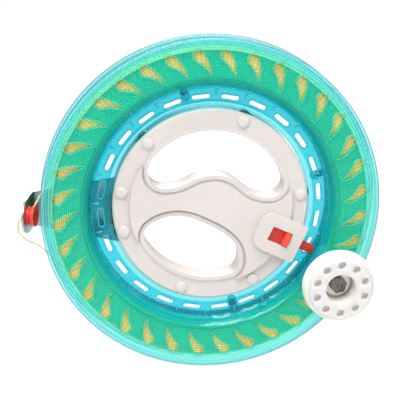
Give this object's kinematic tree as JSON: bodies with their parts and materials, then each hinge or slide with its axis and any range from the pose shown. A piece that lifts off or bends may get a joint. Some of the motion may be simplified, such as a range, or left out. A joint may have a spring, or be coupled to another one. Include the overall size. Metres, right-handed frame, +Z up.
{
  "type": "kite line winder",
  "caption": "Hand-held kite line winder: translucent spool wheel on ball bearings round a grip hub, with a crank knob, a brake slider and a side line guide",
  "frame": {"origin": "on the wheel's axis, in the flat back face of the hub", "axes": "+Z up and +X right as the front shows it; the wheel turns about Y, with its front toward -Y; the line guide is on the -X side"},
  "size_m": [0.2355, 0.0525, 0.22],
  "materials": {
    "wheel_plastic": "translucent gloss",
    "white_plastic": "gloss",
    "red_plastic": "gloss",
    "sheet_steel": "satin",
    "steel": "bright",
    "bearing_steel": "ground",
    "line": "braided line"
  },
  "bodies": {
    "hub": {"hub_front_cover": "white_plastic", "hub_rear_cover": "white_plastic", "hub_screws": "steel", "guide_screw": "steel", "bearing_inner_rings": "bearing_steel", "brake_retainer": "white_plastic", "line_guide": "sheet_steel", "guide_eyelet": "red_plastic", "eyelet_keeper": "red_plastic", "free_line": "line"},
    "wheel": {"wheel_front": "wheel_plastic", "wheel_rear": "wheel_plastic", "wheel_screws": "steel", "winding_core": "line", "winding_turns": "line", "crank_bolt": "steel", "crank_nut": "steel", "knob_sleeve": "steel", "knob_washer": "steel", "lock_washer": "steel"},
    "knob": {"knob": "white_plastic"},
    "brake": {"brake_slider": "red_plastic"},
    "bearing_1": {"bearing_outer_ring_1": "bearing_steel"},
    "bearing_2": {"bearing_outer_ring_2": "bearing_steel"},
    "bearing_3": {"bearing_outer_ring_3": "bearing_steel"},
    "bearing_4": {"bearing_outer_ring_4": "bearing_steel"},
    "bearing_5": {"bearing_outer_ring_5": "bearing_steel"},
    "bearing_6": {"bearing_outer_ring_6": "bearing_steel"}
  },
  "joints": [
    {"name": "wheel_spin", "type": "hinge", "parent": "hub", "child": "wheel", "pos_m": [0, -0.012, 0], "axis": [0, -1, 0], "continuous": true},
    {"name": "knob_spin", "type": "hinge", "parent": "wheel", "child": "knob", "pos_m": [0.07929, -0.038, -0.04783], "axis": [0, -1, 0], "continuous": true},
    {"name": "brake_slide", "type": "slide", "parent": "hub", "child": "brake", "axis": [-0.9026, 0, 0.4305], "range_m": [0, 0.006]},
    {"name": "bearing_1_spin", "type": "hinge", "parent": "hub", "child": "bearing_1", "pos_m": [0.05877, -0.008, 0.00524], "axis": [0, -1, 0], "continuous": true},
    {"name": "bearing_2_spin", "type": "hinge", "parent": "hub", "child": "bearing_2", "pos_m": [0.02057, -0.008, 0.0553], "axis": [0, -1, 0], "continuous": true},
    {"name": "bearing_3_spin", "type": "hinge", "parent": "hub", "child": "bearing_3", "pos_m": [-0.04069, -0.008, 0.04273], "axis": [0, -1, 0], "continuous": true},
    {"name": "bearing_4_spin", "type": "hinge", "parent": "hub", "child": "bearing_4", "pos_m": [-0.05688, -0.008, -0.01567], "axis": [0, -1, 0], "continuous": true},
    {"name": "bearing_5_spin", "type": "hinge", "parent": "hub", "child": "bearing_5", "pos_m": [-0.01989, -0.008, -0.05555], "axis": [0, -1, 0], "continuous": true},
    {"name": "bearing_6_spin", "type": "hinge", "parent": "hub", "child": "bearing_6", "pos_m": [0.02806, -0.008, -0.0519], "axis": [0, -1, 0], "continuous": true}
  ],
  "couplings": [
    {"joint": "bearing_1_spin", "follows": "wheel_spin", "ratio": 10.092},
    {"joint": "bearing_2_spin", "follows": "wheel_spin", "ratio": 10.092},
    {"joint": "bearing_3_spin", "follows": "wheel_spin", "ratio": 10.092},
    {"joint": "bearing_4_spin", "follows": "wheel_spin", "ratio": 10.092},
    {"joint": "bearing_5_spin", "follows": "wheel_spin", "ratio": 10.092},
    {"joint": "bearing_6_spin", "follows": "wheel_spin", "ratio": 10.092}
  ]
}
